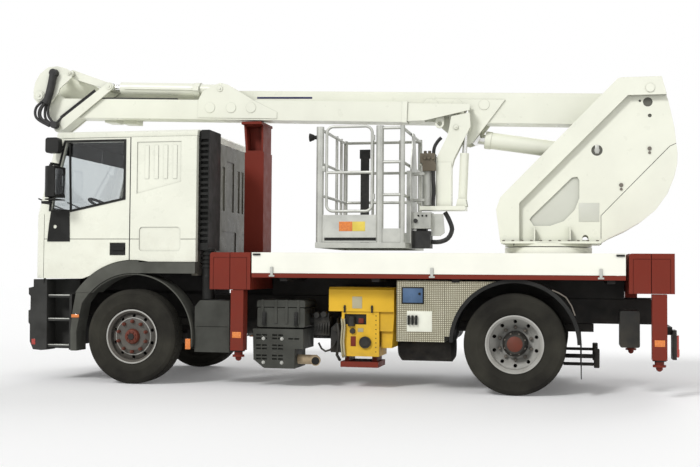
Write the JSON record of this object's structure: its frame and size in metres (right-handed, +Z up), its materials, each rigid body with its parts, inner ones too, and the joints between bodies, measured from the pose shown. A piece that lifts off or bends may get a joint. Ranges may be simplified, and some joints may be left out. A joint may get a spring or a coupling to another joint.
{
  "type": "truck-mounted aerial work platform",
  "caption": "Cab-over truck with a slewing turret that carries a folding, telescopic boom and a hanging work basket, on wheels and extending outrigger legs",
  "frame": {"origin": "bottom centre of the bounding box, on the ground", "axes": "+X forward along the truck, +Y to the truck's left, +Z up"},
  "size_m": [7.5794, 2.92, 3.7403],
  "materials": {
    "white_paint": "gloss",
    "red_paint": "satin",
    "dark_plastic": "matte",
    "grey_plastic": "matte",
    "black_plastic": "satin",
    "frame_paint": "satin",
    "engine_iron": "matte",
    "yellow_paint": "gloss",
    "tread_plate": "satin",
    "rim_paint": "satin",
    "tyre_rubber": "matte",
    "glass": "gloss",
    "lamp_plastic": "gloss",
    "basket_alloy": "satin",
    "rod_chrome": "gloss",
    "leg_steel": "satin",
    "cab_rear_paint": "satin",
    "hose_rubber": "matte"
  },
  "bodies": {
    "chassis": {"chassis_frame": "frame_paint", "axles": "frame_paint", "power_unit": "engine_iron", "bumper_steps": "dark_plastic", "cab_front": "white_paint", "cab_sides": "white_paint", "cab_rear": "cab_rear_paint", "cab_roof": "white_paint", "windscreen": "glass", "interior": "dark_plastic", "wheel_arches": "grey_plastic", "side_boxes": "dark_plastic", "aux_engine": "yellow_paint", "tool_locker": "tread_plate", "rear_mudguards": "black_plastic", "deck": "white_paint", "subframe": "red_paint", "lamps": "lamp_plastic"},
    "door_left": {"door_left": "white_paint", "door_glass_left": "glass", "door_trim_left": "black_plastic"},
    "knuckle_left": {"knuckle_left": "frame_paint"},
    "wheel_front_left": {"rim_front_left": "rim_paint", "tyre_front_left": "tyre_rubber"},
    "outrigger_beam_front_left": {"beam_front_left": "red_paint"},
    "outrigger_leg_front_left": {"leg_front_left": "leg_steel"},
    "wheel_rear_left": {"rim_rear_left": "rim_paint", "tyre_rear_left": "tyre_rubber"},
    "outrigger_beam_rear_left": {"beam_rear_left": "red_paint"},
    "outrigger_leg_rear_left": {"leg_rear_left": "leg_steel"},
    "door_right": {"door_right": "white_paint", "door_glass_right": "glass", "door_trim_right": "black_plastic"},
    "knuckle_right": {"knuckle_right": "frame_paint"},
    "wheel_front_right": {"rim_front_right": "rim_paint", "tyre_front_right": "tyre_rubber"},
    "outrigger_beam_front_right": {"beam_front_right": "red_paint"},
    "outrigger_leg_front_right": {"leg_front_right": "leg_steel"},
    "wheel_rear_right": {"rim_rear_right": "rim_paint", "tyre_rear_right": "tyre_rubber"},
    "outrigger_beam_rear_right": {"beam_rear_right": "red_paint"},
    "outrigger_leg_rear_right": {"leg_rear_right": "leg_steel"},
    "turret": {"turret": "white_paint"},
    "boom1": {"boom1": "white_paint", "head_hoses": "hose_rubber"},
    "lift_barrel": {"lift_barrel": "white_paint"},
    "lift_rod": {"lift_rod": "rod_chrome"},
    "boom2": {"boom2": "white_paint"},
    "boom2_inner": {"boom2_inner": "white_paint"},
    "link_lower": {"link_lower": "white_paint"},
    "link_upper": {"link_upper": "white_paint"},
    "fold_barrel": {"fold_barrel": "white_paint"},
    "fold_rod": {"fold_rod": "rod_chrome"},
    "hanger": {"hanger": "white_paint", "hanger_hoses": "hose_rubber"},
    "level_barrel": {"level_barrel": "white_paint"},
    "level_rod": {"level_rod": "rod_chrome"},
    "basket": {"basket": "basket_alloy", "basket_controls": "hose_rubber"},
    "basket_gate": {"basket_gate": "basket_alloy"}
  },
  "joints": [
    {"name": "steer_left", "type": "hinge", "parent": "chassis", "child": "knuckle_left", "pos_m": [2.0763, 0.87, 0.522], "axis": [0, 0, 1], "range_deg": [-38, 38]},
    {"name": "spin_front_left", "type": "hinge", "parent": "knuckle_left", "child": "wheel_front_left", "pos_m": [2.0763, 1.06, 0.522], "axis": [0, 1, 0], "continuous": true},
    {"name": "spin_rear_left", "type": "hinge", "parent": "chassis", "child": "wheel_rear_left", "pos_m": [-2.1077, 1.06, 0.522], "axis": [0, 1, 0], "continuous": true},
    {"name": "door_left", "type": "hinge", "parent": "chassis", "child": "door_left", "pos_m": [3.1683, 1.15, 1.9], "axis": [0, 0, -1], "range_deg": [0, 70]},
    {"name": "beam_front_left", "type": "slide", "parent": "chassis", "child": "outrigger_beam_front_left", "axis": [0, 1, 0], "range_m": [0, 1]},
    {"name": "leg_front_left", "type": "slide", "parent": "outrigger_beam_front_left", "child": "outrigger_leg_front_left", "axis": [0, 0, -1], "range_m": [0, 0.285]},
    {"name": "beam_rear_left", "type": "slide", "parent": "chassis", "child": "outrigger_beam_rear_left", "axis": [0, 1, 0], "range_m": [0, 1]},
    {"name": "leg_rear_left", "type": "slide", "parent": "outrigger_beam_rear_left", "child": "outrigger_leg_rear_left", "axis": [0, 0, -1], "range_m": [0, 0.285]},
    {"name": "steer_right", "type": "hinge", "parent": "chassis", "child": "knuckle_right", "pos_m": [2.0763, -0.87, 0.522], "axis": [0, 0, 1], "range_deg": [-38, 38]},
    {"name": "spin_front_right", "type": "hinge", "parent": "knuckle_right", "child": "wheel_front_right", "pos_m": [2.0763, -1.06, 0.522], "axis": [0, 1, 0], "continuous": true},
    {"name": "spin_rear_right", "type": "hinge", "parent": "chassis", "child": "wheel_rear_right", "pos_m": [-2.1077, -1.06, 0.522], "axis": [0, 1, 0], "continuous": true},
    {"name": "door_right", "type": "hinge", "parent": "chassis", "child": "door_right", "pos_m": [3.1683, -1.15, 1.9], "axis": [0, 0, 1], "range_deg": [0, 70]},
    {"name": "beam_front_right", "type": "slide", "parent": "chassis", "child": "outrigger_beam_front_right", "axis": [0, -1, 0], "range_m": [0, 1]},
    {"name": "leg_front_right", "type": "slide", "parent": "outrigger_beam_front_right", "child": "outrigger_leg_front_right", "axis": [0, 0, -1], "range_m": [0, 0.285]},
    {"name": "beam_rear_right", "type": "slide", "parent": "chassis", "child": "outrigger_beam_rear_right", "axis": [0, -1, 0], "range_m": [0, 1]},
    {"name": "leg_rear_right", "type": "slide", "parent": "outrigger_beam_rear_right", "child": "outrigger_leg_rear_right", "axis": [0, 0, -1], "range_m": [0, 0.285]},
    {"name": "slew", "type": "hinge", "parent": "chassis", "child": "turret", "pos_m": [-2.4157, 0, 1.55], "axis": [0, 0, 1], "range_deg": [-180, 180]},
    {"name": "boom_lift", "type": "hinge", "parent": "turret", "child": "boom1", "pos_m": [-3.4827, 0, 3.112], "axis": [0, -1, 0], "range_deg": [0, 80]},
    {"name": "boom_unfold", "type": "hinge", "parent": "boom1", "child": "boom2", "pos_m": [3.70229, 0.158, 3.38046], "axis": [0, -1, 0], "range_deg": [0, 150]},
    {"name": "boom_extend", "type": "slide", "parent": "boom2", "child": "boom2_inner", "axis": [-0.9993, 0, -0.0366], "range_m": [0, 2.3]},
    {"name": "basket_level", "type": "hinge", "parent": "boom2_inner", "child": "hanger", "pos_m": [-1.39639, 0.158, 2.89631], "axis": [0, -1, 0], "range_deg": [-130, 15]},
    {"name": "basket_turn", "type": "hinge", "parent": "hanger", "child": "basket", "pos_m": [-1.0777, 0.158, 2.2], "axis": [0, 0, 1], "range_deg": [-45, 45]},
    {"name": "gate", "type": "hinge", "parent": "basket", "child": "basket_gate", "pos_m": [-0.5517, 0.738, 2.3], "axis": [0, 0, 1], "range_deg": [0, 90]},
    {"name": "lift_barrel_swing", "type": "hinge", "parent": "turret", "child": "lift_barrel", "pos_m": [-2.9467, 0, 2.596], "axis": [0, -1, 0], "range_deg": [-5, 85]},
    {"name": "lift_rod_slide", "type": "slide", "parent": "lift_barrel", "child": "lift_rod", "axis": [0.9883, 0, 0.1523], "range_m": [0, 0.97]},
    {"name": "fold_barrel_swing", "type": "hinge", "parent": "boom2", "child": "fold_barrel", "pos_m": [1.40458, 0.158, 3.41229], "axis": [0, -1, 0], "range_deg": [-3, 10]},
    {"name": "fold_rod_slide", "type": "slide", "parent": "fold_barrel", "child": "fold_rod", "axis": [0.9989, 0, 0.0466], "range_m": [0, 1.03]},
    {"name": "link_lower_swing", "type": "hinge", "parent": "boom2", "child": "link_lower", "pos_m": [3.46627, 0.158, 2.99456], "axis": [0, -1, 0], "range_deg": [-80, 3]},
    {"name": "link_upper_swing", "type": "hinge", "parent": "boom1", "child": "link_upper", "pos_m": [3.31806, 0.158, 3.65257], "axis": [0, -1, 0], "range_deg": [-3, 90]},
    {"name": "level_barrel_swing", "type": "hinge", "parent": "hanger", "child": "level_barrel", "pos_m": [-1.4647, 0.158, 2.045], "axis": [0, -1, 0], "range_deg": [-3, 14]},
    {"name": "level_rod_slide", "type": "slide", "parent": "level_barrel", "child": "level_rod", "axis": [-0.0408, 0, 0.9992], "range_m": [-0.4, 0.05]}
  ],
  "couplings": [
    {"joint": "steer_right", "follows": "steer_left", "ratio": 1},
    {"joint": "boom_unfold", "follows": "boom_lift", "ratio": 0.3},
    {"joint": "boom_extend", "follows": "boom_lift", "m_per_rad": 0.36},
    {"joint": "basket_level", "follows": "boom_lift", "ratio": -1.3},
    {"joint": "lift_barrel_swing", "follows": "boom_lift", "ratio": 0.98638},
    {"joint": "lift_rod_slide", "follows": "boom_lift", "m_per_rad": 0.68459},
    {"joint": "fold_barrel_swing", "follows": "boom_lift", "ratio": 0.0645},
    {"joint": "fold_rod_slide", "follows": "boom_lift", "m_per_rad": 0.10906},
    {"joint": "link_lower_swing", "follows": "boom_lift", "ratio": -0.17825},
    {"joint": "link_upper_swing", "follows": "boom_lift", "ratio": 0.28037},
    {"joint": "level_barrel_swing", "follows": "boom_lift", "ratio": 0.1055},
    {"joint": "level_rod_slide", "follows": "boom_lift", "m_per_rad": -0.27736}
  ]
}
